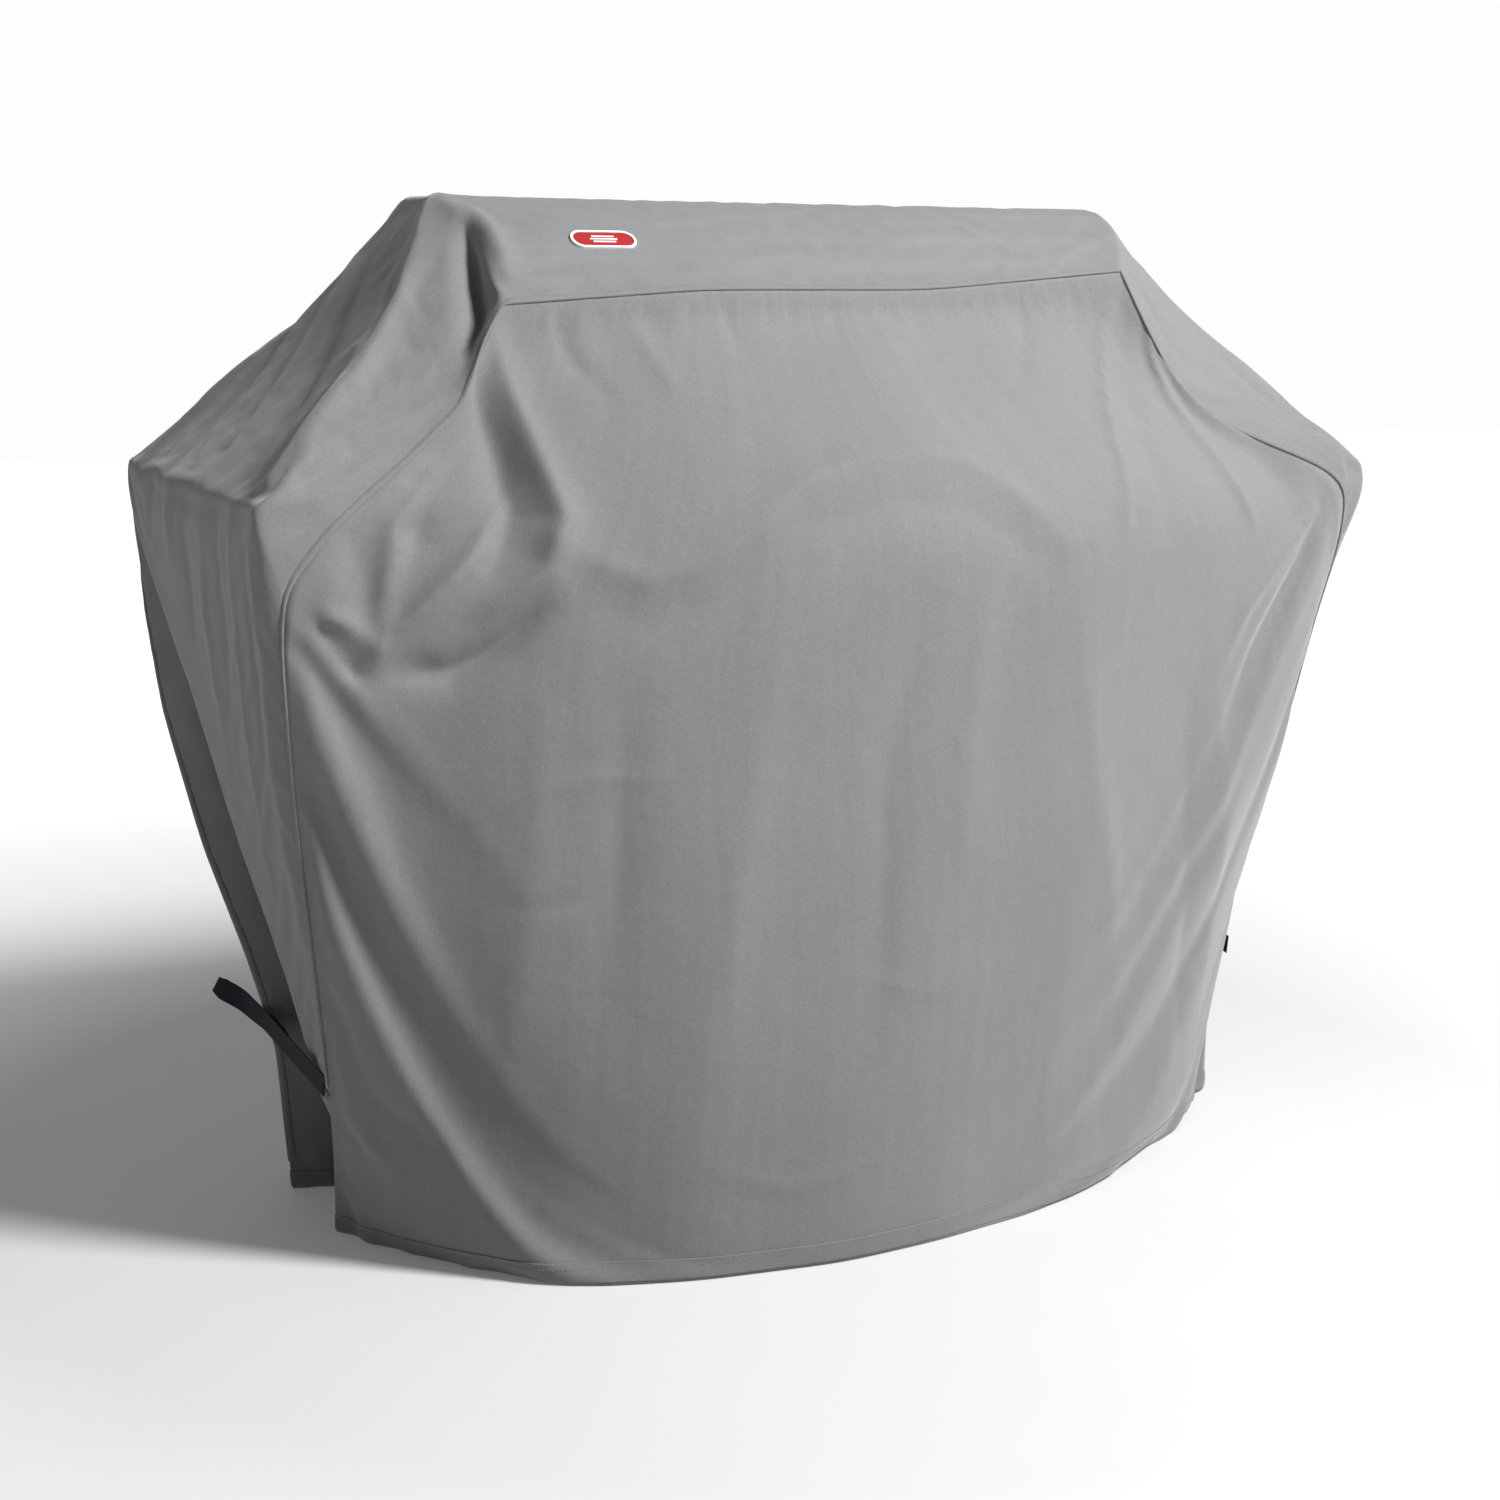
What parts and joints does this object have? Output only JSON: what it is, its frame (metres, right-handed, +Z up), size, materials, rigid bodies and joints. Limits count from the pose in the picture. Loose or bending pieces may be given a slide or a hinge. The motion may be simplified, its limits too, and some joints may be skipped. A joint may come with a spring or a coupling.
{
  "type": "grill cover",
  "caption": "Fitted cloth cover for a wheeled grill cart with side shelves, draped in use, with wrap-around band, pleated ends, side straps and a blank oval badge.",
  "frame": {"origin": "on the plane of the hem, at the centre of the bounding box's bottom face", "axes": "+Z up from the hem to the crest; the front with the badge faces -Y; +X along the length, to the right as seen from the front"},
  "size_m": [1.422, 0.8599, 1.165],
  "materials": {
    "cover_cloth": "coated woven polyester, matt",
    "hem_cloth": "turned and stitched coated polyester",
    "binding_tape": "woven polyester tape",
    "thread": "bonded polyester thread",
    "strap_webbing": "ribbed polypropylene webbing",
    "hook_and_loop": "hook-and-loop tape",
    "badge_silver": "silver plastic",
    "badge_red": "glossy red plastic"
  },
  "bodies": {
    "root": {"crown_panel": "cover_cloth", "left_shoulder_panel": "cover_cloth", "right_shoulder_panel": "cover_cloth", "left_end_panel": "cover_cloth", "right_end_panel": "cover_cloth", "front_panel": "cover_cloth", "back_panel": "cover_cloth", "front_hem": "hem_cloth", "back_hem": "hem_cloth", "left_end_hem": "hem_cloth", "right_end_hem": "hem_cloth", "front_seam_binding": "binding_tape", "back_seam_binding": "binding_tape", "left_front_patch": "binding_tape", "right_front_patch": "binding_tape", "left_back_patch": "binding_tape", "right_back_patch": "binding_tape", "slit_bar_tacks": "thread", "badge_rim": "badge_silver", "badge_face": "badge_red", "badge_bars": "badge_silver"},
    "left_front_strap": {"left_front_strap": "strap_webbing", "left_hook_tape": "hook_and_loop"},
    "left_back_strap": {"left_back_strap": "strap_webbing", "left_loop_tape": "hook_and_loop"},
    "right_front_strap": {"right_front_strap": "strap_webbing", "right_hook_tape": "hook_and_loop"},
    "right_back_strap": {"right_back_strap": "strap_webbing", "right_loop_tape": "hook_and_loop"}
  },
  "joints": [
    {"name": "left_strap_peel", "type": "hinge", "parent": "root", "child": "left_front_strap", "pos_m": [-0.64717, -0.15462, 0.195], "axis": [0, 0, 1], "range_deg": [0, 115]},
    {"name": "left_back_strap_swing", "type": "hinge", "parent": "root", "child": "left_back_strap", "pos_m": [-0.65474, 0.03762, 0.22225], "axis": [0, 0, -1], "range_deg": [0, 60]},
    {"name": "right_strap_peel", "type": "hinge", "parent": "root", "child": "right_front_strap", "pos_m": [0.64717, -0.06136, 0.195], "axis": [0, 0, -1], "range_deg": [0, 115]},
    {"name": "right_back_strap_swing", "type": "hinge", "parent": "root", "child": "right_back_strap", "pos_m": [0.65279, 0.03682, 0.20915], "axis": [0, 0, 1], "range_deg": [0, 60]}
  ],
  "couplings": [
    {"joint": "left_back_strap_swing", "follows": "left_strap_peel", "ratio": 0.5},
    {"joint": "right_back_strap_swing", "follows": "right_strap_peel", "ratio": 0.5}
  ]
}
